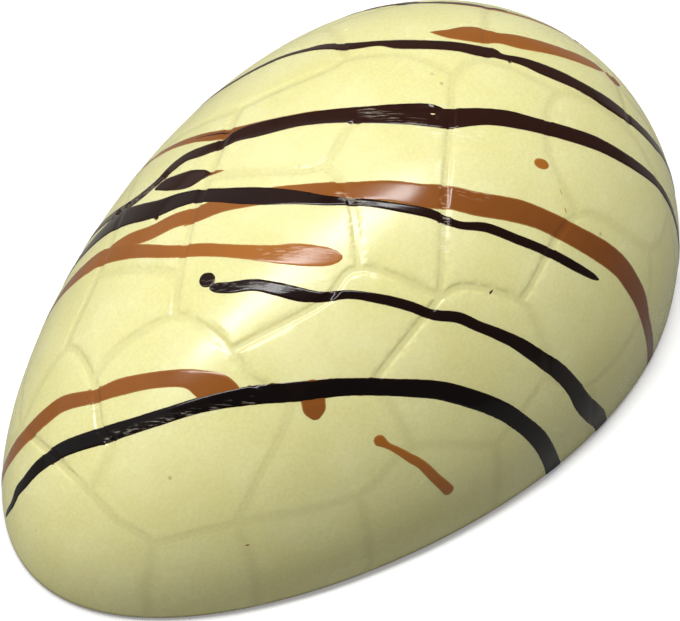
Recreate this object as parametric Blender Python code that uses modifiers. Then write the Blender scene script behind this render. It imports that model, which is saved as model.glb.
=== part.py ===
# A moulded white chocolate half egg, solid, lying on its flat side.
# Metres, +Z up. The origin is the middle of the flat side, the long axis is X,
# and +X is the blunt end. The moulded surface is broken into panels by shallow
# grooves, like cracks in a shell. The poured stripes lie flush in the surface,
# so they have no solid of their own.

import math

import bmesh
import bpy
from mathutils import Vector

# Overall size of the half egg
LENGTH = 0.070
WIDTH = 0.0442
HEIGHT = 0.0236

# Outline: 0 for both gives an ellipse
BLUNTNESS = 0.21  # fattens the +X end and thins the other
FULLNESS = 0.025  # fattens both ends
STATIONS = 40  # faces along the turned profile
TURN_STEPS = 48  # faces round the whole egg before it is cut in half
RIM_ROUND = 0.0005  # rounding where the dome meets the flat side

# Grooves between the panels
GROOVE_WIDTH = 0.0010
GROOVE_DEPTH = 0.0003
GROOVE_STEP = 0.0033  # longest straight run of a cutter
RIM_OVERRUN = 0.0012  # how far a cutter that leaves the rim runs on below it
END_OVERRUN = 0.0003  # how far any other cutter runs on past its last point
CUTTER_SIDES = 2  # bevel resolution: 2 gives eight sides

CHOCOLATE = (0.86, 0.80, 0.52, 1.0)
CHOCOLATE_ROUGHNESS = 0.3

# Each groove is a chain of points on the dome, given as millimetres along X from
# the middle, and degrees over the top from the +Y rim (0) to the -Y rim (180).
GROOVES = (
    # round the narrow end
    ((-31.0, 180), (-31.0, 155), (-29.6, 132), (-30.5, 113), (-30.5, 93)),
    ((-30.5, 93), (-30.2, 72), (-29.4, 50), (-28.6, 31), (-29.8, 0)),
    ((-30.5, 93), (-27.6, 89), (-26.9, 79), (-24.5, 66), (-23.0, 46), (-28.6, 31)),
    # -Y side, from the narrow end to the blunt end
    ((-29.6, 132), (-24.2, 140), (-15.3, 150), (-10.0, 146), (-3.0, 158)),
    ((-24.2, 140), (-24.0, 180)),
    ((-15.3, 150), (-15.1, 180)),
    ((-3.0, 158), (-3.3, 180)),
    ((-24.2, 140), (-21.4, 131), (-16.4, 119), (-17.6, 108), (-17.2, 98)),
    ((-16.4, 119), (-10.8, 129), (-10.0, 146)),
    ((-10.8, 129), (-9.4, 126), (-2.2, 121)),
    ((-2.2, 121), (0.2, 123), (3.6, 133), (4.0, 143), (3.0, 151), (-3.0, 158)),
    ((3.0, 151), (7.8, 162), (16.4, 158), (19.2, 147)),
    ((7.8, 162), (8.2, 180)),
    ((16.4, 158), (17.8, 180)),
    ((3.6, 133), (12.8, 127), (19.2, 147), (24.4, 148)),
    ((24.4, 148), (22.8, 180)),
    # over the top
    ((-24.5, 66), (-21.7, 69), (-17.9, 79), (-17.2, 88), (-17.2, 98)),
    ((-17.2, 98), (-10.0, 105), (-5.9, 105), (-2.2, 121)),
    ((-5.9, 105), (-2.2, 92), (-1.2, 82)),
    ((-2.2, 121), (3.8, 105), (10.1, 92)),
    ((-17.9, 79), (-14.9, 72), (-10.2, 64), (-6.6, 60), (0.9, 51)),
    ((-6.6, 60), (-4.0, 74), (-1.2, 82), (4.0, 80), (10.1, 92)),
    ((10.1, 92), (13.3, 86), (16.8, 87), (20.0, 104)),
    ((13.3, 86), (12.4, 74), (9.4, 64), (7.0, 62), (0.9, 51)),
    ((12.8, 127), (14.6, 111), (20.0, 104), (24.4, 122), (24.4, 148)),
    ((24.4, 122), (28.2, 109), (29.6, 80), (26.4, 62)),
    ((16.8, 87), (21.0, 77), (26.4, 62)),
    # +Y side
    ((-23.0, 46), (-16.8, 44), (-10.6, 37), (-4.2, 28), (0.9, 51)),
    ((-16.8, 44), (-14.9, 72)),
    ((-10.6, 37), (-13.4, 20), (-22.0, 17), (-28.6, 31)),
    ((-13.4, 20), (-13.0, 0)),
    ((-22.0, 17), (-22.6, 0)),
    ((-4.2, 28), (-2.6, 0)),
    ((-4.2, 28), (5.6, 24), (13.4, 43), (9.4, 64)),
    ((5.6, 24), (7.4, 0)),
    ((13.4, 43), (19.0, 49), (26.4, 62)),
    ((19.0, 49), (18.2, 22), (5.6, 24)),
    ((18.2, 22), (17.2, 0)),
    ((18.2, 22), (26.6, 30), (25.4, 0)),
    ((26.6, 30), (29.6, 80)),
    ((28.2, 109), (29.2, 142), (28.2, 180)),
)


def outline(turn):
    """Station along X and distance from the long axis, in metres, at an angle turned
    from the blunt tip (0) to the narrow tip (pi)."""
    cosine = math.cos(turn)
    swell = math.sin(turn) * (1 + BLUNTNESS * cosine + FULLNESS * cosine**2)
    return LENGTH / 2 * cosine, WIDTH / 2 * swell / WIDEST


def widest():
    """The largest swell, which the outline is divided by to reach WIDTH exactly."""
    best = 0.0
    for step in range(1, 1000):
        turn = math.pi * step / 1000
        cosine = math.cos(turn)
        best = max(best, math.sin(turn) * (1 + BLUNTNESS * cosine + FULLNESS * cosine**2))
    return best


WIDEST = widest()
FLATTENING = HEIGHT / (WIDTH / 2)


def on_dome(along, over):
    """The point of the dome at a station along X and an angle over the top from +Y."""
    turn = math.acos(max(-1.0, min(1.0, along / (LENGTH / 2))))
    along, radius = outline(turn)
    return Vector((along, radius * math.cos(over), FLATTENING * radius * math.sin(over)))


def outward(along, over):
    """The dome's unit normal, from its slopes along and over the egg."""
    small = 1e-5
    slope_along = on_dome(along + small, over) - on_dome(along - small, over)
    slope_over = on_dome(along, over + small) - on_dome(along, over - small)
    return slope_over.cross(slope_along).normalized()


def new_object(name, data, collection):
    made = bpy.data.objects.new(name, data)
    collection.objects.link(made)
    return made


def add_collection(name):
    made = bpy.data.collections.new(name)
    bpy.context.scene.collection.children.link(made)
    return made


def evaluated_mesh(source):
    graph = bpy.context.evaluated_depsgraph_get()
    return bpy.data.meshes.new_from_object(source.evaluated_get(graph), depsgraph=graph)


def turned_egg(collection):
    """The whole egg: a half outline turned about the long axis."""
    mesh = bpy.data.meshes.new("egg_profile")
    points = []
    for step in range(STATIONS + 1):
        along, radius = outline(math.pi * step / STATIONS)
        points.append((radius, 0.0, along))
    points[0] = (0.0, 0.0, LENGTH / 2)
    points[-1] = (0.0, 0.0, -LENGTH / 2)
    edges = [(index, index + 1) for index in range(STATIONS)]
    mesh.from_pydata(points, edges, [])
    profile = new_object("egg_profile", mesh, collection)
    turning = profile.modifiers.new("Turn", "SCREW")
    turning.axis = "Z"
    turning.angle = 2 * math.pi
    turning.steps = TURN_STEPS
    turning.render_steps = TURN_STEPS
    turning.use_merge_vertices = True
    turning.merge_threshold = 0.00001
    whole = evaluated_mesh(profile)
    bpy.data.objects.remove(profile)
    return whole


def half_egg(collection):
    """The upper half of the turned egg, laid along X, closed by the flat side."""
    mesh = turned_egg(collection)
    shape = bmesh.new()
    shape.from_mesh(mesh)
    bmesh.ops.remove_doubles(shape, verts=shape.verts, dist=0.00001)
    for vertex in shape.verts:
        across, upright, along = vertex.co
        vertex.co = (along, across, FLATTENING * upright)
    bmesh.ops.bisect_plane(
        shape,
        geom=shape.verts[:] + shape.edges[:] + shape.faces[:],
        dist=0.000001,
        plane_co=(0, 0, 0),
        plane_no=(0, 0, -1),
        clear_outer=True,
    )
    rim = [edge for edge in shape.edges if edge.is_boundary]
    bmesh.ops.contextual_create(shape, geom=rim)
    bmesh.ops.recalc_face_normals(shape, faces=shape.faces)
    shape.to_mesh(mesh)
    shape.free()
    mesh.name = "egg_half"
    half = new_object("egg_half", mesh, collection)
    rounding = half.modifiers.new("Rim", "BEVEL")
    rounding.limit_method = "ANGLE"
    rounding.angle_limit = math.radians(60)
    rounding.width = RIM_ROUND
    rounding.segments = 2
    return half


def groove_route(chain):
    """Points on the dome along one groove, close enough together to follow it."""
    ends = [on_dome(along / 1000, math.radians(over)) for along, over in chain]
    route = [ends[0]]
    for first, second in zip(ends, ends[1:]):
        count = math.ceil((second - first).length / GROOVE_STEP)
        for step in range(1, count + 1):
            route.append(first.lerp(second, step / count))
    return route


def lifted(point, lift):
    """The point moved out to the dome, and then by lift along the dome's normal."""
    over = math.atan2(max(point.z, 0.0) / FLATTENING, point.y)
    return on_dome(point.x, over) + outward(point.x, over) * lift


def run_on(before, last, mark):
    """One more point past the end of a route: down past the rim, or straight on."""
    if mark[1] in (0, 180):
        return last - Vector((0, 0, RIM_OVERRUN))
    return last + (last - before).normalized() * END_OVERRUN


def groove_cutters(collection):
    """One round bar along each groove, its axis just outside the dome."""
    half_width = GROOVE_WIDTH / 2
    radius = (half_width**2 + GROOVE_DEPTH**2) / (2 * GROOVE_DEPTH)
    curve = bpy.data.curves.new("grooves", "CURVE")
    curve.dimensions = "3D"
    curve.bevel_depth = radius
    curve.bevel_resolution = CUTTER_SIDES
    curve.use_fill_caps = True
    for chain in GROOVES:
        route = [lifted(point, radius - GROOVE_DEPTH) for point in groove_route(chain)]
        route.insert(0, run_on(route[1], route[0], chain[0]))
        route.append(run_on(route[-2], route[-1], chain[-1]))
        spline = curve.splines.new("POLY")
        spline.points.add(len(route) - 1)
        for knot, place in zip(spline.points, route):
            knot.co = (*place, 1.0)
    bars = new_object("groove_bars", curve, collection)
    mesh = evaluated_mesh(bars)
    bpy.data.objects.remove(bars)
    shape = bmesh.new()
    shape.from_mesh(mesh)
    bmesh.ops.remove_doubles(shape, verts=shape.verts, dist=0.000002)
    bmesh.ops.recalc_face_normals(shape, faces=shape.faces)
    shape.to_mesh(mesh)
    shape.free()
    cutter = new_object("groove_cutter", mesh, collection)
    cutter.hide_render = True
    cutter.display_type = "WIRE"
    return cutter


def chocolate():
    material = bpy.data.materials.new("white_chocolate")
    material.use_nodes = True
    shader = material.node_tree.nodes["Principled BSDF"]
    shader.inputs["Base Color"].default_value = CHOCOLATE
    shader.inputs["Roughness"].default_value = CHOCOLATE_ROUGHNESS
    shader.inputs["Metallic"].default_value = 0.0
    return material


def main():
    for leftover in list(bpy.data.objects):
        bpy.data.objects.remove(leftover)
    parts = add_collection("chocolate half egg")
    cutters = add_collection("cutters")

    half = half_egg(parts)
    half.data.materials.append(chocolate())
    cutting = half.modifiers.new("Grooves", "BOOLEAN")
    cutting.operation = "DIFFERENCE"
    cutting.solver = "EXACT"
    cutting.use_self = True
    cutting.object = groove_cutters(cutters)

    half.data.shade_smooth()
    half.data.set_sharp_from_angle(angle=math.radians(30))


main()
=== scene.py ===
# A moulded white chocolate half egg lying on its flat side. The mould pressed a net
# of shallow grooves into it, and dark and milk chocolate run across it in stripes.
import math

import bpy
import numpy as np
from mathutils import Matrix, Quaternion, Vector, kdtree, noise


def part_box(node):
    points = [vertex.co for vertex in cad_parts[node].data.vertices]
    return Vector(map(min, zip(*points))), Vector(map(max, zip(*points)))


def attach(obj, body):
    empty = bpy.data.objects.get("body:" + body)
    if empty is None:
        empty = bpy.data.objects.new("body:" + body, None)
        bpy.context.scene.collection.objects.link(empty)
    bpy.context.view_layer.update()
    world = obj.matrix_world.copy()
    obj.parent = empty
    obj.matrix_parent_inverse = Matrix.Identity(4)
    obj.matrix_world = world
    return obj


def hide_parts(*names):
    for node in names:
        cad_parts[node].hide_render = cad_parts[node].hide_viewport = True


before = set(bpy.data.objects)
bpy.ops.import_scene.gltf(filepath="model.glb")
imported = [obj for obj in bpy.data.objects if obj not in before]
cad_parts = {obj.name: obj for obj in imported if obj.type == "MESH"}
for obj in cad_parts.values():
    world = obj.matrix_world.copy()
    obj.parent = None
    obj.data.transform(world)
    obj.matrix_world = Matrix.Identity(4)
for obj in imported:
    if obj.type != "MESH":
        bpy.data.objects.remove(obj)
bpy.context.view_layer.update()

mm = 0.001  # shapes are worked out in millimetres, and stored in metres
print("frame loaded")


# The camera looks down on the -Y side from the narrow end, a little rolled
cameraSettings = {
    "target": (1.85, 0.81, 1.43),  # mm
    "distance": 315.0,  # mm
    "azimuth": -56.8,  # degrees, as are the elevation and the roll
    "elevation": 54.3,
    "roll": 10.9,
    "lens": 196.5,  # mm, as is the sensor's width
    "sensor": 36.0,
    "clip": (0.01, 10.0),  # m
}


def directionTo(azimuth, elevation):
    turn, lift = math.radians(azimuth), math.radians(elevation)
    reach = math.cos(lift)
    return Vector((math.sin(turn) * reach, -math.cos(turn) * reach, math.sin(lift)))


def placeCamera(settings):
    data = bpy.data.cameras.new("studioCamera")
    data.lens = settings["lens"]
    data.sensor_width = settings["sensor"]
    data.clip_start, data.clip_end = settings["clip"]
    camera = bpy.data.objects.new("studioCamera", data)
    bpy.context.scene.collection.objects.link(camera)
    back = directionTo(settings["azimuth"], settings["elevation"])
    camera.location = Vector(settings["target"]) * mm + back * settings["distance"] * mm
    level = (-back).to_track_quat("-Z", "Y")
    camera.rotation_mode = "QUATERNION"
    camera.rotation_quaternion = level @ Quaternion((0, 0, 1), math.radians(settings["roll"]))
    bpy.context.scene.camera = camera


placeCamera(cameraSettings)
print("camera placed")


# The shape of the dome, shared by the shell and by everything poured on it. A place on it
# is mm along X and the angle over the top from the +Y rim: 90 degrees is the ridge.
lowest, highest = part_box("egg_half")
domeShape = {
    "halfLength": (highest[0] - lowest[0]) / 2 / mm,
    "halfWidth": (highest[1] - lowest[1]) / 2 / mm,
    "height": (highest[2] - lowest[2]) / mm,
    "bluntness": 0.21,  # fattens the +X end and thins the other
    "fullness": 0.025,  # fattens both ends
    "rimRound": 0.5,  # mm
    "waveHeight": 0.016,  # mm, slow unevenness of the moulded surface
    "waveSize": 5.0,  # mm
    "tipMargin": 0.004,  # radians, keeps slopes off the two tips
    "slopeStep": 0.001,  # radians
}
flattening = domeShape["height"] / domeShape["halfWidth"]


def swell(turn):
    cosine = np.cos(turn)
    return np.sin(turn) * (1 + domeShape["bluntness"] * cosine + domeShape["fullness"] * cosine**2)


widestSwell = swell(np.linspace(0, math.pi, 2000)).max()


def domePoint(along, over):
    turn = np.arccos(np.clip(along / domeShape["halfLength"], -1, 1))
    radius = domeShape["halfWidth"] * swell(turn) / widestSwell
    lengthwise = domeShape["halfLength"] * np.cos(turn)
    return np.stack([lengthwise, radius * np.cos(over), flattening * radius * np.sin(over)], -1)


def domeNormal(along, over):
    turn = np.arccos(np.clip(along / domeShape["halfLength"], -1, 1))
    turn = np.clip(turn, domeShape["tipMargin"], math.pi - domeShape["tipMargin"])
    step = domeShape["slopeStep"]
    reach = domeShape["halfWidth"] / widestSwell
    radius = reach * swell(turn)
    slope = reach * (swell(turn + step) - swell(turn - step)) / (2 * step)
    lengthwise = -domeShape["halfLength"] * np.sin(turn)
    byTurn = np.stack([lengthwise, slope * np.cos(over), flattening * slope * np.sin(over)], -1)
    byOver = np.stack(
        [np.zeros_like(turn), -radius * np.sin(over), flattening * radius * np.cos(over)], -1
    )
    normal = np.cross(byTurn, byOver)
    return normal / np.linalg.norm(normal, axis=-1, keepdims=True)


def domeCoordinates(points):
    return points[:, 0], np.arctan2(points[:, 2] / flattening, points[:, 1])


def smooth(value, low, high):
    part = np.clip((value - low) / (high - low), 0, 1)
    return part * part * (3 - 2 * part)


def curveThrough(rows, count):
    # a smooth curve through rows of numbers, with count points from each row to the next
    rows = np.asarray(rows, float)
    padded = np.vstack([2 * rows[0] - rows[1], rows, 2 * rows[-1] - rows[-2]])
    part = np.linspace(0, 1, count, endpoint=False)[:, None]
    stretches = []
    for a, b, c, d in zip(padded, padded[1:], padded[2:], padded[3:]):
        square, cube = 2 * a - 5 * b + 4 * c - d, 3 * b - a - 3 * c + d
        stretches.append(0.5 * (2 * b + (c - a) * part + square * part**2 + cube * part**3))
    stretches.append(rows[-1:])
    return np.vstack(stretches)


# Each groove is a chain of (mm along X, degrees over). Grooves are deepest over the top.
grooveSettings = {
    "depth": 0.115,  # mm
    "sideShare": 0.20,  # how much of the depth is left low down on the sides
    "sideFade": (0.55, 0.86),  # sine of the angle over, from the sides to the top
    "bluntShare": 0.45,  # how much is left at the blunt end
    "bluntFade": (6, 15),  # mm along X
    "frontShare": 0.25,  # how much is left on the worn front of the narrow half
    "frontLine": (-24, 94, 2.4),  # its edge: mm along X, degrees over, degrees more per mm
    "frontFade": (-3, 7),  # degrees past that line
    "floorHalf": 0.20,  # mm, half the flat bottom of a groove
    "shoulder": 0.48,  # mm, where the wall meets the panel
    "pillow": 0.03,  # mm, how far panels sink towards the grooves
    "pillowReach": 1.4,  # mm
    "pointsPerKnot": 6,
    "spacing": 0.12,  # mm between samples
    "chains": (
        # round the narrow end
        ((-31.0, 184), (-31.0, 155), (-29.6, 132), (-30.5, 113), (-30.5, 93)),
        ((-30.5, 93), (-30.2, 72), (-29.4, 50), (-28.6, 31), (-29.8, -4)),
        ((-30.5, 93), (-27.6, 89), (-26.9, 79), (-24.5, 66), (-23.0, 46), (-28.6, 31)),
        # -Y side
        ((-29.6, 132), (-24.2, 140), (-15.3, 150), (-10.0, 146), (-3.0, 158)),
        ((-24.2, 140), (-24.0, 184)),
        ((-15.3, 150), (-15.1, 184)),
        ((-3.0, 158), (-3.3, 184)),
        ((-24.2, 140), (-21.4, 131), (-16.4, 119), (-17.6, 108), (-17.2, 98)),
        ((-16.4, 119), (-10.8, 129), (-10.0, 146)),
        ((-10.8, 129), (-9.4, 126), (-2.2, 121)),
        ((-2.2, 121), (0.2, 123), (3.6, 133), (4.0, 143), (3.0, 151), (-3.0, 158)),
        ((3.0, 151), (7.8, 162), (16.4, 158), (19.2, 147)),
        ((7.8, 162), (8.2, 184)),
        ((16.4, 158), (17.8, 184)),
        ((3.6, 133), (12.8, 127), (19.2, 147), (24.4, 148)),
        ((24.4, 148), (22.8, 184)),
        # over the top
        ((-24.5, 66), (-21.7, 69), (-17.9, 79), (-17.2, 88), (-17.2, 98)),
        ((-17.2, 98), (-10.0, 105), (-5.9, 105), (-2.2, 121)),
        ((-5.9, 105), (-2.2, 92), (-1.2, 82)),
        ((-2.2, 121), (3.8, 105), (10.1, 92)),
        ((-17.9, 79), (-14.9, 72), (-10.2, 64), (-6.6, 60), (0.9, 51)),
        ((-6.6, 60), (-4.0, 74), (-1.2, 82), (4.0, 80), (10.1, 92)),
        ((10.1, 92), (13.3, 86), (16.8, 87), (20.0, 104)),
        ((13.3, 86), (12.4, 74), (9.4, 64), (7.0, 62), (0.9, 51)),
        ((12.8, 127), (14.6, 111), (20.0, 104), (24.4, 122), (24.4, 148)),
        ((24.4, 122), (28.2, 109), (29.6, 80), (26.4, 62)),
        ((16.8, 87), (21.0, 77), (26.4, 62)),
        # +Y side
        ((-23.0, 46), (-16.8, 44), (-10.6, 37), (-4.2, 28), (0.9, 51)),
        ((-16.8, 44), (-14.9, 72)),
        ((-10.6, 37), (-13.4, 20), (-22.0, 17), (-28.6, 31)),
        ((-13.4, 20), (-13.0, -4)),
        ((-22.0, 17), (-22.6, -4)),
        ((-4.2, 28), (-2.6, -4)),
        ((-4.2, 28), (5.6, 24), (13.4, 43), (9.4, 64)),
        ((5.6, 24), (7.4, -4)),
        ((13.4, 43), (19.0, 49), (26.4, 62)),
        ((19.0, 49), (18.2, 22), (5.6, 24)),
        ((18.2, 22), (17.2, -4)),
        ((18.2, 22), (26.6, 30), (25.4, -4)),
        ((26.6, 30), (29.6, 80)),
        ((28.2, 109), (29.2, 142), (28.2, 184)),
    ),
}


def sampledChain(chain):
    # close points along a groove, and the way it runs at each of them
    along, over = np.array(chain, float).T
    knots = curveThrough(domePoint(along, np.radians(over)), grooveSettings["pointsPerKnot"])
    samples, headings = [], []
    for first, second in zip(knots, knots[1:]):
        length = np.linalg.norm(second - first)
        count = max(2, math.ceil(length / grooveSettings["spacing"]))
        part = np.linspace(0, 1, count, endpoint=False)[:, None]
        samples.append(first + (second - first) * part)
        headings.append(np.repeat([(second - first) / length], count, 0))
    samples, headings = np.vstack(samples), np.vstack(headings)
    along, over = domeCoordinates(samples)
    return domePoint(along, over), headings


sampledChains = [sampledChain(chain) for chain in grooveSettings["chains"]]
grooveSamples, grooveHeadings = (np.vstack(part) for part in zip(*sampledChains))
grooveTree = kdtree.KDTree(len(grooveSamples))
for index, sample in enumerate(grooveSamples):
    grooveTree.insert(sample, index)
grooveTree.balance()


def grooveDistance(points):
    nearest = np.array([grooveTree.find(point)[1] for point in points])
    offset, heading = points - grooveSamples[nearest], grooveHeadings[nearest]
    spacing = grooveSettings["spacing"]
    forward = np.clip((offset * heading).sum(1), -spacing, spacing)
    return np.linalg.norm(offset - heading * forward[:, None], axis=1)


def grooveShare(along, over):
    # how much of the full depth grooves have at a place
    start, angle, slant = grooveSettings["frontLine"]
    pastLine = np.degrees(over) - angle - slant * (along - start)
    side = grooveSettings["sideShare"]
    share = side + (1 - side) * smooth(np.sin(over), *grooveSettings["sideFade"])
    blunt = smooth(along, *grooveSettings["bluntFade"])
    share *= 1 - (1 - grooveSettings["bluntShare"]) * blunt
    front = smooth(pastLine, *grooveSettings["frontFade"])
    return share * (1 - (1 - grooveSettings["frontShare"]) * front)


# Bubbles that burst against the mould: mm along X, degrees over, then radius and depth in mm
pits = (
    (8.2, 91.2, 0.50, 0.24),
    (8.5, 94.4, 0.28, 0.14),
    (-10.3, 34.5, 0.50, 0.55),
    (-9.7, 37.0, 0.45, 0.50),
    (-6.9, 45.4, 0.42, 0.50),
    (-11.3, 53.5, 0.34, 0.35),
    (-4.0, 85.0, 0.16, 0.07),
    (18.4, 90.5, 0.25, 0.12),
)
pitPlaces = [domePoint(np.array(pit[0]), np.radians(pit[1])) for pit in pits]


def shellSurface(along, over, lift=0.0, pitShare=1.0):
    # the finished surface above a place on the plain dome
    place, normal = domePoint(along, over), domeNormal(along, over)
    away = grooveDistance(place)
    wall = smooth(away, grooveSettings["floorHalf"], grooveSettings["shoulder"])
    pillow = np.exp(-((away / grooveSettings["pillowReach"]) ** 2))
    sunk = grooveSettings["depth"] * (1 - wall) + grooveSettings["pillow"] * pillow
    sunk = grooveShare(along, over) * sunk
    for centre, (_, _, radius, depth) in zip(pitPlaces, pits):
        reach = np.linalg.norm(place - centre, axis=1) / radius
        sunk += pitShare * depth * np.clip(1 - reach**2, 0, 1) ** 2
    wave = np.array([noise.noise(Vector(point / domeShape["waveSize"])) for point in place])
    place = place + normal * (lift - sunk + wave * domeShape["waveHeight"])[:, None]
    # the rounded edge where the dome meets the flat side
    rounding = domeShape["rimRound"]
    rise = np.clip(rounding - np.clip(place[:, 2], 0, None), 0, rounding)
    inset = rounding - np.sqrt(rounding**2 - rise**2)
    sideways = normal[:, :2] / np.linalg.norm(normal[:, :2], axis=1, keepdims=True).clip(1e-6)
    place[:, :2] -= sideways * inset[:, None]
    return place


# Rubbed places, whose pale tint is partly real rub marks and partly painted glints and sheen: (mm
# along X, degrees over) at both ends, half width in mm, strength
scuffsAndGlints = (
    ((4.9, 79), (6.9, 91), 0.65, 1.0),
    ((7.2, 94), (10.2, 101), 0.45, 0.8),
    ((-2.6, 90), (-1.4, 97), 0.45, 0.9),
    ((5.4, 100), (0.6, 114), 0.5, 1.0),
    ((4.4, 104), (6.4, 110), 0.8, 0.55),
    ((-10.0, 87), (-6.8, 97), 0.9, 0.5),
    ((-14.6, 81), (-11.8, 92), 0.7, 0.5),
    ((-27.2, 85), (-23.5, 98.6), 0.35, 0.9),
    ((-23.5, 98.6), (-18.6, 111.5), 0.35, 0.9),
    ((-11.2, 30), (-8.4, 42), 1.1, 0.9),
    ((-26.2, 70), (-26.0, 76), 0.5, 0.6),
    ((17.5, 163), (22.5, 178), 1.6, 0.35),
    ((12.5, 172), (15.5, 182), 1.4, 0.3),
    ((-11.2, 97), (-8.6, 101), 0.5, 0.6),
)
scuffAndGlintFade = (0.35, 1.15)  # shares of the half width, from full strength to none


def scuffAndGlintAt(points):
    total = np.zeros(len(points))
    for first, second, reach, strength in scuffsAndGlints:
        start = domePoint(np.array(first[0]), np.radians(first[1]))
        step = domePoint(np.array(second[0]), np.radians(second[1])) - start
        part = np.clip(((points - start) @ step) / (step @ step), 0, 1)
        away = np.linalg.norm(points - start - part[:, None] * step, axis=1)
        faded = smooth(away, reach * scuffAndGlintFade[0], reach * scuffAndGlintFade[1])
        total = np.maximum(total, strength * (1 - faded))
    return total


def writeAttribute(mesh, name, values):
    attribute = mesh.attributes.new(name, "FLOAT", "POINT")
    attribute.data.foreach_set("value", np.asarray(values, np.float32))


def readPlaces(mesh):
    places = np.empty(len(mesh.vertices) * 3)
    mesh.vertices.foreach_get("co", places)
    return places.reshape(-1, 3)


def writePlaces(mesh, places):
    mesh.vertices.foreach_set("co", np.ascontiguousarray(places).ravel())
    mesh.update()


def deselectAll():
    if bpy.context.object and bpy.context.object.mode != "OBJECT":
        bpy.ops.object.mode_set(mode="OBJECT")
    bpy.ops.object.select_all(action="DESELECT")


crispAngle = 42  # degrees, past which an edge isn't shaded smooth


def finishPiece(piece, name, material, slot):
    piece.name = name
    piece.data.name = name
    piece.data.materials.clear()
    piece.data.materials.append(material)
    deselectAll()
    bpy.context.view_layer.objects.active = piece
    piece.select_set(True)
    bpy.ops.object.shade_smooth_by_angle(angle=math.radians(crispAngle))
    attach(piece, "root")


def addSocket(group, name, direction, kind, value=None):
    socket = group.interface.new_socket(name=name, in_out=direction, socket_type=kind)
    if value is not None:
        socket.default_value = value


class NodeDesk:
    # lays nodes out in rows and joins them
    perRow = 8
    columnWidth, rowHeight = 190, 260

    def __init__(self, tree):
        self.tree = tree
        self.count = 0

    def add(self, kind, inputs=None, **settings):
        node = self.tree.nodes.new(kind)
        row, column = divmod(self.count, self.perRow)
        node.location = (column * self.columnWidth, -row * self.rowHeight)
        self.count += 1
        for key, value in settings.items():
            setattr(node, key, value)
        for key, value in (inputs or {}).items():
            if isinstance(value, bpy.types.NodeSocket):
                self.tree.links.new(value, node.inputs[key])
            else:
                node.inputs[key].default_value = value
        return node

    def math(self, operation, *values, clamp=False):
        inputs = dict(enumerate(values))
        node = self.add("ShaderNodeMath", inputs, operation=operation, use_clamp=clamp)
        return node.outputs[0]

    def mixColour(self, factor, first, second, blend="MIX"):
        inputs = {0: factor, 6: first, 7: second}  # 6 and 7 are the colour sockets, A and B
        node = self.add("ShaderNodeMix", inputs, data_type="RGBA", blend_type=blend)
        return node.outputs[2]

    def span(self, value, low, high, outLow=0.0, outHigh=1.0):
        inputs = {0: value, 1: low, 2: high, 3: outLow, 4: outHigh}
        node = self.add("ShaderNodeMapRange", inputs, interpolation_type="SMOOTHSTEP")
        return node.outputs[0]

    def noise(self, place, scale, detail, roughness=0.5):
        inputs = {"Vector": place, "Scale": scale, "Detail": detail, "Roughness": roughness}
        return self.add("ShaderNodeTexNoise", inputs).outputs[0]


surfaceSettings = {
    "mottleScale": 170.0,
    "grainScale": 3200.0,
    "grainHeight": 0.0008,  # mm
    "rippleScale": 620.0,
    "rippleHeight": 0.004,  # mm
    "markSize": (0.0022, 0.00017, 0.00030),  # m, the length, width and height of a rub mark
    "markTurn": -48,  # degrees, the way most stripes run
    "markSpan": (0.52, 0.61),  # noise values that show as a mark
    "markHeight": 0.035,  # mm
    "colourSpan": (0.3, 0.7),  # noise values from one colour or roughness to the other
    "glossSpan": (0.25, 0.75),
    "grainSpan": (0.2, 0.8),
}


def makeSurfaceGroup(settings):
    # mottling, grain and rub marks that all three chocolates share
    group = bpy.data.node_groups.new("chocolateSurface", "ShaderNodeTree")
    addSocket(group, "Mottle Scale", "INPUT", "NodeSocketFloat", settings["mottleScale"])
    addSocket(group, "Grain Scale", "INPUT", "NodeSocketFloat", settings["grainScale"])
    addSocket(group, "ScuffAndGlint", "INPUT", "NodeSocketFloat", 0.0)
    for name in ("Mottle", "Grain", "RubbedAndGlint", "Height"):
        addSocket(group, name, "OUTPUT", "NodeSocketFloat")
    desk = NodeDesk(group)
    source = desk.add("NodeGroupInput").outputs
    place = desk.add("ShaderNodeTexCoord").outputs["Object"]
    mottle = desk.noise(place, source["Mottle Scale"], detail=3.0, roughness=0.55)
    grain = desk.noise(place, source["Grain Scale"], detail=2.0, roughness=0.6)
    ripple = desk.noise(place, settings["rippleScale"], detail=1.0)
    turn = (0.0, 0.0, math.radians(settings["markTurn"]))
    stretched = desk.add(
        "ShaderNodeMapping",
        {"Vector": place, "Rotation": turn, "Scale": settings["markSize"]},
        vector_type="TEXTURE",
    ).outputs[0]
    marks = desk.noise(stretched, 1.0, detail=3.0)
    rubbedAndGlint = desk.math("MULTIPLY", desk.span(marks, *settings["markSpan"]), source["ScuffAndGlint"])
    height = desk.math("MULTIPLY", ripple, settings["rippleHeight"])
    height = desk.math("MULTIPLY_ADD", grain, settings["grainHeight"], height)
    rough = desk.math("MULTIPLY", marks, source["ScuffAndGlint"])
    height = desk.math("MULTIPLY_ADD", rough, settings["markHeight"], height)
    results = {"Mottle": mottle, "Grain": grain, "RubbedAndGlint": rubbedAndGlint, "Height": height}
    desk.add("NodeGroupOutput", results)
    return group


surfaceGroup = makeSurfaceGroup(surfaceSettings)


def startMaterial(name):
    material = bpy.data.materials.new(name)
    material.use_nodes = True
    material.node_tree.nodes.clear()
    desk = NodeDesk(material.node_tree)
    shader = desk.add("ShaderNodeBsdfPrincipled")
    output = desk.add("ShaderNodeOutputMaterial")
    material.node_tree.links.new(shader.outputs[0], output.inputs[0])
    return material, desk, shader


def readAttribute(desk, name):
    return desk.add("ShaderNodeAttribute", attribute_name=name).outputs["Fac"]


def addSurface(desk, finish):
    inputs = {
        "Mottle Scale": finish["mottleScale"],
        "Grain Scale": finish["grainScale"],
        "ScuffAndGlint": readAttribute(desk, "scuffAndGlint"),
    }
    return desk.add("ShaderNodeGroup", inputs, node_tree=surfaceGroup).outputs


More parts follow.
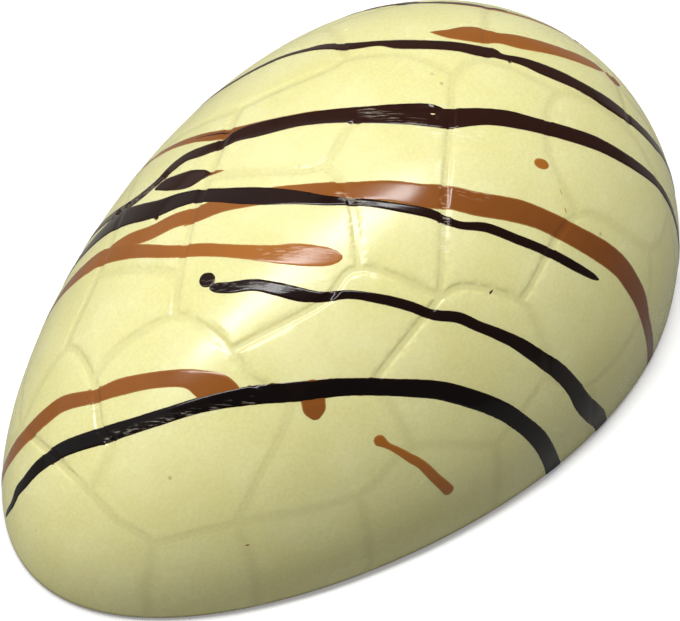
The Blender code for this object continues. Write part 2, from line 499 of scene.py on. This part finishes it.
def finishShader(desk, shader, finish, surface, colour):
    # what the three chocolates have in common: rubbed places are rougher and stand up a little
    links = desk.tree.links
    links.new(colour, shader.inputs["Base Color"])
    roughness = desk.span(surface["Mottle"], *surfaceSettings["glossSpan"], *finish["roughness"])
    roughness = desk.math("MULTIPLY_ADD", surface["RubbedAndGlint"], finish["rubbedRoughness"], roughness)
    links.new(roughness, shader.inputs["Roughness"])
    shader.inputs["Specular IOR Level"].default_value = finish["specular"]
    bump = desk.add("ShaderNodeBump", {"Distance": mm, "Height": surface["Height"]})
    links.new(bump.outputs[0], shader.inputs["Normal"])


whiteFinish = {
    "light": (0.88, 0.84, 0.42, 1.0),
    "deep": (0.83, 0.785, 0.345, 1.0),
    "mottleScale": 150.0,
    "grainScale": 3600.0,
    "grainContrast": (0.95, 1.04),  # the grain darkens and lightens by this much
    # painted shade in the grooves: the colour mixed in along them, and how much of it
    "grooveShadeTint": (0.70, 0.655, 0.29, 1.0),
    "grooveShare": 0.45,
    # paler where rubbed: partly real rub marks, partly painted glints and sheen
    "rubbedAndGlintTint": (0.92, 0.90, 0.62, 1.0),
    "rubbedAndGlintShare": 0.6,
    "rubbedRoughness": 0.15,
    # painted shadow: a brownish dark colour along the flat side, where the egg meets the floor
    "rimShadowTint": (0.30, 0.19, 0.09, 1.0),
    "speckTint": (0.28, 0.16, 0.05, 1.0),  # tiny bits of cocoa, far apart
    "speckScale": 420.0,
    "speckRarity": 0.86,  # the share of cells that have none
    "speckSize": (0.10, 0.03),  # of a cell, from the edge of a speck to its full colour
    "speckShare": 0.45,
    "roughness": (0.20, 0.30),  # of the smoothest and the roughest places
    "specular": 0.5,
    "subsurface": 0.18,
    "subsurfaceRadius": (1.0, 0.8, 0.35),
    "subsurfaceScale": 0.0012,
}


def makeWhite(finish):
    material, desk, shader = startMaterial("whiteChocolate")
    surface = addSurface(desk, finish)
    mottle = desk.span(surface["Mottle"], *surfaceSettings["colourSpan"])
    colour = desk.mixColour(mottle, finish["deep"], finish["light"])
    # painted shade: the white is darkened along the grooves, over and above their real depth
    groove = desk.math("MULTIPLY", readAttribute(desk, "groove"), finish["grooveShare"])
    colour = desk.mixColour(groove, colour, finish["grooveShadeTint"])
    place = desk.add("ShaderNodeTexCoord").outputs["Object"]
    cellInputs = {"Vector": place, "Scale": finish["speckScale"]}
    cells = desk.add("ShaderNodeTexVoronoi", cellInputs).outputs
    chance = desk.add("ShaderNodeSeparateColor", {0: cells["Color"]}).outputs[0]
    chosen = desk.math("GREATER_THAN", chance, finish["speckRarity"])
    dot = desk.math("MULTIPLY", chosen, desk.span(cells["Distance"], *finish["speckSize"]))
    dot = desk.math("MULTIPLY", dot, finish["speckShare"])
    colour = desk.mixColour(dot, colour, finish["speckTint"])
    # paler where rubbed: partly real rub marks, partly painted glints and sheen
    rubbedAndGlint = desk.math("MULTIPLY", surface["RubbedAndGlint"], finish["rubbedAndGlintShare"])
    colour = desk.mixColour(rubbedAndGlint, colour, finish["rubbedAndGlintTint"])
    # painted contact shadow along the flat side
    colour = desk.mixColour(readAttribute(desk, "rim"), colour, finish["rimShadowTint"])
    fine = desk.span(surface["Grain"], *surfaceSettings["grainSpan"], *finish["grainContrast"])
    grain = desk.add("ShaderNodeCombineColor", {0: fine, 1: fine, 2: fine}).outputs[0]
    colour = desk.mixColour(1.0, colour, grain, "MULTIPLY")
    finishShader(desk, shader, finish, surface, colour)
    shader.inputs["Subsurface Weight"].default_value = finish["subsurface"]
    shader.inputs["Subsurface Radius"].default_value = finish["subsurfaceRadius"]
    shader.inputs["Subsurface Scale"].default_value = finish["subsurfaceScale"]
    return material


def makePoured(name, finish):
    # dark and milk chocolate: full colour in the middle, thinner and browner at the edges
    material, desk, shader = startMaterial(name)
    surface = addSurface(desk, finish)
    uneven = desk.math("SUBTRACT", surface["Mottle"], 0.5)
    tone = readAttribute(desk, "tone")
    tone = desk.math("MULTIPLY_ADD", uneven, finish["toneSpread"], tone, clamp=True)
    colour = desk.mixColour(tone, finish["deep"], finish["light"])
    inward = readAttribute(desk, "inward")
    inward = desk.math("MULTIPLY_ADD", surface["Grain"], finish["edgeGrain"], inward)
    thin = desk.span(inward, *finish["fringe"], 1.0, 0.0)
    colour = desk.mixColour(thin, colour, finish["edge"])
    # paler where rubbed: partly real rub marks, partly painted glints and sheen
    rubbedAndGlint = desk.math("MULTIPLY", surface["RubbedAndGlint"], finish["rubbedAndGlintShare"])
    colour = desk.mixColour(rubbedAndGlint, colour, finish["rubbedAndGlintTint"])
    finishShader(desk, shader, finish, surface, colour)
    return material


pouredFinish = {
    "grainScale": 3000.0,
    "toneSpread": 0.35,
    "edgeGrain": 0.05,  # mm, how far the grain breaks up the edge
    "rubbedRoughness": 0.15,
}
darkFinish = pouredFinish | {
    "light": (0.038, 0.0100, 0.0052, 1.0),
    "deep": (0.0030, 0.0010, 0.0006, 1.0),
    "edge": (0.20, 0.080, 0.025, 1.0),
    "fringe": (0.02, 0.20),  # mm from the edge, where the edge's colour fades
    "mottleScale": 300.0,
    # the rubbed tint is partly real rub marks, partly painted glints and sheen
    "rubbedAndGlintTint": (0.50, 0.44, 0.34, 1.0),
    "rubbedAndGlintShare": 0.45,
    "roughness": (0.11, 0.18),
    "specular": 0.23,
}
milkFinish = pouredFinish | {
    "light": (0.400, 0.135, 0.018, 1.0),
    "deep": (0.165, 0.043, 0.009, 1.0),
    "edge": (0.60, 0.34, 0.085, 1.0),
    "fringe": (0.03, 0.30),
    "mottleScale": 260.0,
    # the rubbed tint is partly real rub marks, partly painted glints and sheen
    "rubbedAndGlintTint": (0.80, 0.58, 0.38, 1.0),
    "rubbedAndGlintShare": 0.5,
    "roughness": (0.14, 0.22),
    "specular": 0.32,
}
whiteChocolate = makeWhite(whiteFinish)
darkChocolate = makePoured("darkChocolate", darkFinish)
milkChocolate = makePoured("milkChocolate", milkFinish)
print("materials made")


shellSettings = {
    "divisions": 7,
    "fineCuts": 3,
    "fineReach": 0.66,  # mm from a groove, where the mesh is made finer
    "pitMargin": 0.4,  # mm round a pit, made finer too
    "rimReach": 0.55,  # mm above the flat side, made finer too
    "rimSlack": 1e-5,  # of the ball's radius, what counts as on the rim
    "baseInset": 0.6,  # mm
    "grooveShadeFade": (0.10, 0.75),  # mm from a groove, where its painted shade fades
    # painted contact shadow at the rim: how dark it is, and where it fades
    "rimShadowStrength": 0.8,
    "rimShadowFade": (0.20, 0.62),  # mm above the flat side, where the painted rim shadow fades
}


def ballToDome(places):
    return domeShape["halfLength"] * places[:, 0], np.arctan2(places[:, 2], places[:, 1])


def selectNear(mesh, near):
    # selects the chosen points, and the edges and faces that lie wholly among them
    mesh.vertices.foreach_set("select", near)
    joined = [near[edge.vertices[0]] and near[edge.vertices[1]] for edge in mesh.edges]
    mesh.edges.foreach_set("select", joined)
    covered = [all(near[corner] for corner in face.vertices) for face in mesh.polygons]
    mesh.polygons.foreach_set("select", covered)


def cutToHalfBall(mesh):
    # the lower half goes, and the ring round the middle becomes the rim
    heights = np.array([face.center.z for face in mesh.polygons])
    bpy.ops.object.mode_set(mode="EDIT")
    bpy.ops.mesh.select_all(action="DESELECT")  # a new ball is selected all over
    bpy.ops.object.mode_set(mode="OBJECT")
    mesh.polygons.foreach_set("select", heights < 0)
    bpy.ops.object.mode_set(mode="EDIT")
    bpy.ops.mesh.select_mode(type="FACE")
    bpy.ops.mesh.delete(type="FACE")
    bpy.ops.object.mode_set(mode="OBJECT")


def refine(mesh, settings):
    # a finer mesh along the grooves, round the pits and at the rim
    plain = domePoint(*ballToDome(readPlaces(mesh)))
    near = grooveDistance(plain) < settings["fineReach"]
    near |= plain[:, 2] < settings["rimReach"]
    for centre, (_, _, radius, _) in zip(pitPlaces, pits):
        near |= np.linalg.norm(plain - centre, axis=1) < radius + settings["pitMargin"]
    selectNear(mesh, near)
    bpy.ops.object.mode_set(mode="EDIT")
    bpy.ops.mesh.select_mode(type="FACE")
    bpy.ops.mesh.subdivide(number_cuts=settings["fineCuts"], smoothness=0.0)
    bpy.ops.object.mode_set(mode="OBJECT")


def closeBase(settings):
    # the flat side: the rim is drawn in a little, then closed
    bpy.ops.object.mode_set(mode="EDIT")
    bpy.ops.mesh.select_mode(type="EDGE")
    bpy.ops.mesh.select_all(action="DESELECT")
    bpy.ops.mesh.select_non_manifold(
        extend=False,
        use_boundary=True,
        use_wire=False,
        use_multi_face=False,
        use_non_contiguous=False,
        use_verts=False,
    )
    bpy.ops.mesh.extrude_region_move()
    drawIn = 1 - settings["baseInset"] / domeShape["halfWidth"]
    bpy.ops.transform.resize(value=(drawIn, drawIn, 1), center_override=(0, 0, 0))
    bpy.ops.mesh.edge_face_add()
    bpy.ops.mesh.select_all(action="SELECT")
    bpy.ops.mesh.normals_make_consistent(inside=False)
    bpy.ops.object.mode_set(mode="OBJECT")


def buildShell(settings):
    deselectAll()
    bpy.ops.mesh.primitive_ico_sphere_add(
        subdivisions=settings["divisions"], radius=1.0, location=(0, 0, 0)
    )
    piece = bpy.context.object
    mesh = piece.data
    cutToHalfBall(mesh)
    refine(mesh, settings)
    # the half ball takes the shape of the dome
    ball = readPlaces(mesh)
    ball /= np.linalg.norm(ball, axis=1, keepdims=True)
    places = shellSurface(*ballToDome(ball))
    places[ball[:, 2] < settings["rimSlack"], 2] = 0.0
    writePlaces(mesh, places * mm)
    closeBase(settings)
    final = readPlaces(mesh) / mm
    # the painted groove shade, full in a groove and fading off beside it
    writeAttribute(mesh, "groove", 1 - smooth(grooveDistance(final), *settings["grooveShadeFade"]))
    writeAttribute(mesh, "scuffAndGlint", scuffAndGlintAt(final))
    # painted contact shadow, darkest at the flat side
    rim = settings["rimShadowStrength"] * (1 - smooth(final[:, 2], *settings["rimShadowFade"]))
    writeAttribute(mesh, "rim", rim)
    finishPiece(piece, "shell", whiteChocolate, "white_chocolate")
    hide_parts("egg_half")
    return piece


shell = buildShell(shellSettings)
print("shell", len(shell.data.polygons), "faces")


stripeSettings = {
    "pointsPerKnot": 24,
    "step": 0.12,  # mm
    "fewestSteps": 10,
    "columns": 12,
    "lift": {"milk": 0.020, "dark": 0.042},  # mm above the shell
    "sink": 0.05,  # mm, how far the edges dip under it
    "underlap": 0.05,  # mm, the width of that hidden edge
    "edgeRise": (-0.02, 0.2),  # mm in from the edge, where it comes up to the full lift
    "pitShare": 0.7,  # pits are shallower in it than in the shell below
    "thickness": 0.22,  # mm
    "wobble": 0.05,  # mm, how far the edges wander
    "wanderRate": 0.45,  # for each mm, as is the rate of the smaller nicks
    "nickRate": 2.1,
    "nickShare": 0.5,
    "bluntTip": 0.0004,  # keeps a rounded end from closing to a point
    "narrowest": 0.3,  # mm of half width, under which the wobble shrinks with the stripe
    "cutHeight": 0.03,  # mm above the flat side, where stripes end
}

# Each route is (mm along X, degrees over, width in mm). Past 180 or below 0 it runs off the
# rim. "ends" says whether the start and the end are rounded off, and "tone" how light the
# chocolate is at each: 0 is deep, 1 is light, and past 1 less of the mottling is left.
stripes = {
    "darkStripeLower": {
        "kind": "dark",
        "tone": (0.0, 0.0),
        "ends": (True, False),
        "route": (
            (-32.9, 9, 0.5), (-32.7, 28, 0.7), (-32.1, 38, 1.0), (-31.5, 48, 1.1),
            (-29.8, 64, 1.35), (-27.4, 82, 1.5), (-24.5, 94.3, 1.35), (-21.4, 102.7, 1.35),
            (-18.4, 110.4, 1.6), (-15.3, 118, 1.65), (-12.2, 124.3, 1.5), (-9.0, 131.4, 1.5),
            (-6.4, 137, 1.6), (-4.5, 142.2, 1.65), (-2.3, 149, 1.6), (-0.5, 155.8, 1.6),
            (1.4, 164.8, 1.65), (2.8, 174, 1.7), (3.8, 181, 1.8), (4.5, 187, 1.9),
        ),
    },
    "darkStripeMiddle": {
        "kind": "dark",
        "tone": (0.2, 0.1),
        "ends": (True, False),
        "route": (
            (-14.7, 81.7, 1.0), (-13.8, 86, 1.1), (-12.5, 90.3, 1.1), (-11.6, 95, 1.2),
            (-10.7, 100, 1.25), (-9.6, 104, 0.95), (-7.9, 107.8, 0.8), (-6.3, 112.8, 0.9),
            (-4.8, 118, 0.95), (-3.5, 123, 0.95), (-1.9, 126.8, 1.0), (-0.8, 131, 1.0),
            (0.3, 134.7, 1.05), (1.7, 139.7, 1.2), (3.3, 146.5, 1.4), (4.5, 151.5, 1.5),
            (5.8, 158.5, 1.6), (6.6, 164, 1.8), (7.9, 170, 1.9), (9.3, 176, 1.7), (10.8, 186, 1.6),
        ),
    },
    "darkBlobMiddle": {
        "kind": "dark",
        "tone": (0.3, 0.3),
        "ends": (True, True),
        "route": ((-14.9, 79.4, 1.35), (-14.25, 80.0, 1.45), (-13.6, 80.6, 1.35)),
    },
    "darkStripeUpper": {
        "kind": "dark",
        "tone": (0.45, 0.2),
        "ends": (False, True),
        "route": (
            (-14.6, -6, 1.6), (-14.2, 10, 1.6), (-13.5, 20, 1.8), (-12.6, 28, 2.1),
            (-11.5, 36, 2.4), (-11.0, 44, 2.3), (-10.5, 51, 2.2), (-9.3, 57, 1.8), (-8.4, 62, 1.5),
            (-7.7, 68, 1.65), (-6.6, 75, 1.85), (-5.1, 82, 1.5), (-3.8, 88, 1.1),
            (-2.7, 91.8, 0.85), (-1.5, 95.7, 0.8), (0.0, 101, 0.85), (1.5, 106, 0.95),
            (2.8, 111.8, 0.75), (4.6, 116, 0.9), (6.3, 122, 0.9), (8.1, 128, 0.9), (9.7, 134, 0.9),
            (11.3, 139.8, 0.65), (11.8, 141.5, 0.45),
        ),
    },
    "darkStripeHigh": {
        "kind": "dark",
        "tone": (0.7, 0.6),
        "ends": (False, False),
        "route": (
            (-11.3, -6, 1.3), (-11.0, 12, 1.3), (-10.6, 26, 1.3), (-9.7, 38, 1.3),
            (-8.0, 43.5, 1.1), (-6.1, 45.7, 1.45), (-5.0, 48, 1.4), (-4.2, 52, 1.5),
            (-3.2, 55.8, 1.3), (-2.0, 58.3, 1.7), (-0.7, 63, 1.9), (1.3, 69.2, 1.65),
            (3.4, 76, 1.75), (5.0, 81, 2.0), (6.5, 85.2, 2.3), (8.2, 90, 2.5), (9.1, 93, 2.15),
            (11.4, 97.2, 1.8), (13.2, 101.3, 1.75), (15.2, 106.8, 1.55), (17.4, 112.9, 1.5),
            (19.3, 118.4, 1.45), (21.1, 124.9, 1.3), (23.3, 133.7, 1.1), (24.5, 140.2, 0.9),
            (25.5, 150, 0.8), (26.3, 165, 0.8), (26.8, 186, 0.8),
        ),
    },
    "darkStripeTop": {
        "kind": "dark",
        "tone": (0.8, 0.65),
        "ends": (False, False),
        "route": (
            (2.6, -6, 0.9), (3.8, 18, 0.9), (5.0, 32, 0.9), (6.6, 39, 0.85), (8.3, 45, 0.8),
            (9.3, 50, 0.8), (10.1, 54, 1.1), (11.0, 61.1, 1.3), (12.4, 66, 1.0), (13.2, 70, 1.55),
            (14.7, 74.9, 1.5), (16.3, 80, 1.5), (17.3, 83.8, 1.65), (18.0, 86, 1.55),
            (18.4, 88.4, 0.95), (19.5, 92, 1.25), (20.4, 95.9, 1.6), (21.5, 100.5, 1.65),
            (22.8, 106.2, 1.5), (24.0, 112.2, 1.7), (25.2, 118, 1.5), (26.3, 124.3, 1.25),
            (27.4, 131, 1.3), (28.9, 142, 1.0), (30.1, 165, 0.9), (30.6, 186, 0.9),
        ),
    },
    "darkStripeFar": {
        "kind": "dark",
        "tone": (1.0, 1.0),
        "ends": (False, True),
        "route": (
            (17.0, -6, 1.2), (17.6, 20, 1.2), (19.2, 39, 1.3), (21.0, 51, 1.3), (23.6, 62, 1.1),
            (26.0, 71, 0.6),
        ),
    },
    "darkLeaf": {
        "kind": "dark",
        "tone": (0.5, 0.8),
        "ends": (True, True),
        "route": (
            (-8.5, 45, 0.9), (-8.0, 47.5, 1.5), (-7.7, 51, 2.0), (-7.2, 55, 2.2), (-6.5, 58, 1.2),
            (-6.1, 60, 0.5),
        ),
    },
    "darkThread": {
        "kind": "dark",
        "tone": (1.0, 1.0),
        "ends": (True, True),
        "route": ((-2.9, 45, 0.2), (-2.5, 49, 0.3), (-2.1, 53, 0.4), (-1.7, 56, 0.2)),
    },
    "darkFleck": {
        "kind": "dark",
        "tone": (1.0, 1.0),
        "ends": (True, True),
        "route": ((1.45, 127.3, 0.16), (1.75, 127.1, 0.28), (2.1, 126.9, 0.14)),
    },
    "milkStripeLower": {
        "kind": "milk",
        "tone": (0.6, 0.5),
        "ends": (False, True),
        "route": (
            (-30.4, -6, 1.3), (-30.2, 14, 1.4), (-29.8, 26, 1.6), (-28.9, 40, 1.7),
            (-27.8, 50, 1.7), (-26.7, 58, 1.6), (-25.5, 70, 1.4), (-24.0, 78, 1.6),
            (-22.2, 87, 1.55), (-20.8, 94, 1.7), (-20.2, 100, 2.6), (-19.7, 104, 2.7),
            (-19.2, 107, 2.0), (-18.8, 109.5, 1.1),
        ),
    },
    "milkStripeMiddle": {
        "kind": "milk",
        "tone": (0.1, 1.2),
        "ends": (False, True),
        "route": (
            (-19.2, -6, 1.4), (-18.6, 8, 1.4), (-17.6, 20, 1.5), (-16.3, 31, 1.9), (-15.2, 40, 2.1),
            (-14.6, 51, 1.7), (-13.8, 64, 1.4), (-12.5, 73, 1.4), (-11.2, 81, 1.4),
            (-9.8, 88.2, 1.65), (-8.7, 92.2, 2.05), (-7.4, 97, 1.9), (-6.2, 100.8, 1.2),
        ),
    },
    "milkStripeUpper": {
        "kind": "milk",
        "tone": (0.8, 0.0),
        "ends": (True, False),
        "route": (
            (-16.4, 35, 1.3), (-15.0, 42, 1.7), (-13.7, 48, 1.8), (-12.7, 55, 1.8),
            (-11.2, 60, 1.75), (-10.0, 65, 1.8), (-8.6, 69, 1.7), (-7.2, 74, 1.6), (-5.9, 78, 1.7),
            (-4.3, 83, 1.7), (-1.7, 91, 1.8), (0.5, 97, 2.05), (2.0, 102, 2.3), (3.7, 106, 2.2),
            (5.3, 111, 2.25), (8.1, 118.2, 2.15), (9.9, 124.1, 2.05), (11.7, 131, 2.1),
            (13.3, 137, 2.2), (14.6, 143, 2.15), (15.4, 149, 2.1), (16.0, 154.8, 1.95),
            (16.4, 162, 1.5), (17.2, 171, 1.4), (18.6, 186, 1.4),
        ),
    },
    "milkFringeHigh": {
        "kind": "milk",
        "tone": (0.7, 0.3),
        "ends": (False, True),
        "route": (
            (-5.6, -6, 0.9), (-4.8, 16, 0.9), (-3.7, 32, 0.9), (-3.2, 40, 1.0), (-2.8, 46, 1.2),
            (-2.5, 51, 1.4), (-2.0, 55, 1.4), (-1.3, 58.8, 1.4), (0.4, 65.0, 1.2), (2.2, 70, 0.8),
            (3.2, 73, 0.5),
        ),
    },
    "milkStripeTop": {
        "kind": "milk",
        "tone": (0.7, 0.7),
        "ends": (True, True),
        "route": (
            (16.2, 71, 0.5), (17.3, 75, 1.8), (18.7, 78, 2.9), (19.6, 80.6, 2.6), (20.3, 82.8, 2.0),
            (21.4, 86, 2.4), (23.1, 90.3, 2.1), (24.8, 94.7, 1.8), (26.3, 98.8, 1.7),
            (27.3, 102, 1.4), (27.9, 104.8, 0.7),
        ),
    },
    "milkDropTop": {
        "kind": "milk",
        "tone": (0.5, 0.5),
        "ends": (True, True),
        "route": ((27.8, 104.6, 0.7), (28.1, 106.8, 1.4), (28.5, 109, 1.4), (28.8, 111, 0.8)),
    },
    "milkStripeFar": {
        "kind": "milk",
        "tone": (0.5, 0.5),
        "ends": (True, True),
        "route": ((22.6, 60, 0.6), (25.0, 69, 1.0), (28.2, 80, 1.0), (30.4, 90, 0.6)),
    },
    "milkLeafTip": {
        "kind": "milk",
        "tone": (0.1, 0.3),
        "ends": (True, True),
        "route": ((-6.5, 58.2, 0.7), (-5.95, 61, 0.45), (-5.6, 62.6, 0.25)),
    },
    "milkDash": {
        "kind": "milk",
        "tone": (1.0, 1.1),
        "ends": (True, True),
        "route": (
            (-12.5, 138.3, 1.05), (-12.15, 139.9, 1.1), (-11.75, 142, 0.7), (-11.2, 144.4, 0.75),
            (-10.5, 147.8, 0.9), (-9.8, 151, 0.95), (-8.95, 156.4, 1.05), (-8.0, 162, 1.15),
            (-7.75, 164, 1.05),
        ),
    },
    "milkDrop": {
        "kind": "milk",
        "tone": (1.3, 1.3),
        "ends": (True, True),
        "route": ((12.1, 112.0, 0.9), (12.7, 113.3, 1.05), (13.2, 114.8, 0.9)),
    },
    "milkSpeckUpper": {
        "kind": "milk",
        "tone": (0.8, 0.8),
        "ends": (True, True),
        "route": ((12.7, 119.6, 0.14), (12.6, 120.7, 0.26), (12.5, 121.6, 0.14)),
    },
    "milkSpeckLower": {
        "kind": "milk",
        "tone": (1.0, 1.0),
        "ends": (True, True),
        "route": ((12.0, 123.4, 0.18), (11.9, 124.2, 0.24), (11.8, 125.0, 0.18)),
    },
    "milkSpeckSide": {
        "kind": "milk",
        "tone": (0.0, 0.0),
        "ends": (True, True),
        "route": ((-24.2, 148.8, 0.25), (-24.0, 149.1, 0.3), (-23.8, 149.4, 0.25)),
    },
    "milkBlob": {
        "kind": "milk",
        "tone": (0.3, 0.5),
        "ends": (True, True),
        "route": ((-14.2, 117, 1.9), (-14.9, 121, 2.1), (-15.35, 124, 2.0), (-15.65, 126.3, 1.5)),
    },
}


pouredKinds = {
    "dark": (darkChocolate, "dark_chocolate"),
    "milk": (milkChocolate, "milk_chocolate"),
}


def stripeCourse(route, settings):
    # evenly spaced points of a route on the dome, half its width, and the way it runs at each
    rows = curveThrough(route, settings["pointsPerKnot"])
    path = domePoint(rows[:, 0], np.radians(rows[:, 1]))
    travelled = np.concatenate([[0], np.cumsum(np.linalg.norm(np.diff(path, axis=0), axis=1))])
    count = max(settings["fewestSteps"], math.ceil(travelled[-1] / settings["step"]))
    even = np.linspace(0, travelled[-1], count + 1)
    rows = np.stack([np.interp(even, travelled, rows[:, column]) for column in range(3)], -1)
    path = domePoint(rows[:, 0], np.radians(rows[:, 1]))
    heading = np.gradient(path, axis=0)
    heading /= np.linalg.norm(heading, axis=1, keepdims=True)
    return even, path, rows[:, 2] / 2, heading


def noiseAlong(distances, second, third):
    return np.array([noise.noise(Vector((distance, second, third))) for distance in distances])


def edgeWobble(travelled, settings, seed):
    # how far each of the two edges strays along the stripe, each read in its own noise
    edges = []
    for way in (0, 1):
        wander = noiseAlong(travelled * settings["wanderRate"], seed * 7.3, way * 5.1)
        nick = noiseAlong(travelled * settings["nickRate"], seed * 3.7, way * 9.4)
        edges.append(settings["wobble"] * (wander + settings["nickShare"] * nick))
    return edges


def buildStripe(name, details, settings, seed):
    travelled, path, half, heading = stripeCourse(details["route"], settings)
    half = half + settings["underlap"]
    side = np.cross(heading, domeNormal(*domeCoordinates(path)))
    side /= np.linalg.norm(side, axis=1, keepdims=True)
    for rounded, toEnd in zip(details["ends"], (travelled, travelled[-1] - travelled)):
        if rounded:
            part = np.clip(toEnd / half.max(), 0, 1)
            half = half * np.sqrt(np.clip(1 - (1 - part) ** 2, settings["bluntTip"], 1))
    left, right = edgeWobble(travelled, settings, seed)
    deselectAll()
    bpy.ops.mesh.primitive_grid_add(
        x_subdivisions=settings["columns"], y_subdivisions=len(path) - 1, size=1.0
    )
    piece = bpy.context.object
    mesh = piece.data
    # the flat grid is laid along the course
    flat = readPlaces(mesh)
    row = np.rint((flat[:, 1] + 0.5) * (len(path) - 1)).astype(int)
    across = np.sin(flat[:, 0] * math.pi)
    stray = np.where(across > 0, right[row], left[row])
    width = half[row] * (1 + stray / max(half.max(), settings["narrowest"]))
    plain = path[row] + side[row] * (width * across)[:, None]
    inward = width * (1 - np.abs(across))
    lift, sink = settings["lift"][details["kind"]], settings["sink"]
    rise = -sink + (lift + sink) * smooth(inward, *settings["edgeRise"])
    along, over = domeCoordinates(plain)
    over = np.where(over < -math.pi / 2, over + 2 * math.pi, over)
    places = shellSurface(along, over, rise, settings["pitShare"])
    writePlaces(mesh, places * mm)
    writeAttribute(mesh, "inward", inward)
    writeAttribute(mesh, "scuffAndGlint", scuffAndGlintAt(places))
    writeAttribute(mesh, "tone", np.interp(row / row.max(), (0, 1), details["tone"]))
    wall = piece.modifiers.new("wall", "SOLIDIFY")
    wall.thickness = settings["thickness"] * mm
    wall.offset = -1.0
    bpy.ops.object.modifier_apply(modifier=wall.name)
    # what runs off the rim is cut away, level with the flat side
    bpy.ops.object.mode_set(mode="EDIT")
    bpy.ops.mesh.select_all(action="SELECT")
    bpy.ops.mesh.bisect(
        plane_co=(0, 0, settings["cutHeight"] * mm),
        plane_no=(0, 0, 1),
        use_fill=True,
        clear_inner=True,
        threshold=1e-7,
    )
    bpy.ops.object.mode_set(mode="OBJECT")
    finishPiece(piece, name, *pouredKinds[details["kind"]])
    return piece


for number, (name, details) in enumerate(stripes.items()):
    stripe = buildStripe(name, details, stripeSettings, number + 1)
    print(name, len(stripe.data.polygons), "faces")


studioSettings = {
    "floorSize": 3.0,  # m
    "floorDrop": 0.00002,  # m, keeps it just clear of the flat side
    "floorSeen": (0.93, 0.93, 0.93, 1.0),
    "floorBounce": (0.34, 0.34, 0.32, 1.0),  # what the egg gets back from it
    "floorGlow": 0.22,  # lifts it to white
    "worldColour": (1.0, 1.0, 0.98, 1.0),
    "worldStrength": 0.188,
    "lamps": {
        # place in mm, both sides in mm, turn about its own axis in degrees, power in watts
        "tube": ((-12.0, 66.0, 480.0), (420.0, 60.0), -30.0, 2.15),
        "side": ((-650.0, -90.0, 200.0), (500.0, 500.0), 0.0, 0.10),
        "window": ((-330.0, 860.0, 560.0), (1700.0, 1700.0), 0.0, 4.6),
    },
}


def buildFloor(settings):
    deselectAll()
    bpy.ops.mesh.primitive_plane_add(
        size=settings["floorSize"], location=(0, 0, -settings["floorDrop"])
    )
    floor = bpy.context.object
    floor.name = "floor"
    material, desk, shader = startMaterial("paleFloor")
    seen = desk.add("ShaderNodeLightPath").outputs["Is Camera Ray"]
    colour = desk.mixColour(seen, settings["floorBounce"], settings["floorSeen"])
    glow = desk.math("MULTIPLY", seen, settings["floorGlow"])
    desk.tree.links.new(colour, shader.inputs["Base Color"])
    desk.tree.links.new(glow, shader.inputs["Emission Strength"])
    shader.inputs["Emission Color"].default_value = (1.0, 1.0, 1.0, 1.0)
    shader.inputs["Roughness"].default_value = 1.0
    shader.inputs["Specular IOR Level"].default_value = 0.0
    floor.data.materials.append(material)


def lightStudio(settings):
    world = bpy.data.worlds.new("studio")
    world.use_nodes = True
    background = world.node_tree.nodes["Background"]
    background.inputs["Color"].default_value = settings["worldColour"]
    background.inputs["Strength"].default_value = settings["worldStrength"]
    bpy.context.scene.world = world
    for name, (place, sides, turn, power) in settings["lamps"].items():
        data = bpy.data.lights.new(name, "AREA")
        data.shape = "RECTANGLE"
        data.size, data.size_y = sides[0] * mm, sides[1] * mm
        data.energy = power
        lamp = bpy.data.objects.new(name, data)
        bpy.context.scene.collection.objects.link(lamp)
        lamp.location = Vector(place) * mm
        lamp.rotation_mode = "QUATERNION"
        facing = lamp.location.to_track_quat("Z", "Y")
        lamp.rotation_quaternion = facing @ Quaternion((0, 0, 1), math.radians(turn))


buildFloor(studioSettings)
lightStudio(studioSettings)
bpy.context.scene.view_settings.view_transform = "Standard"
print("studio built")
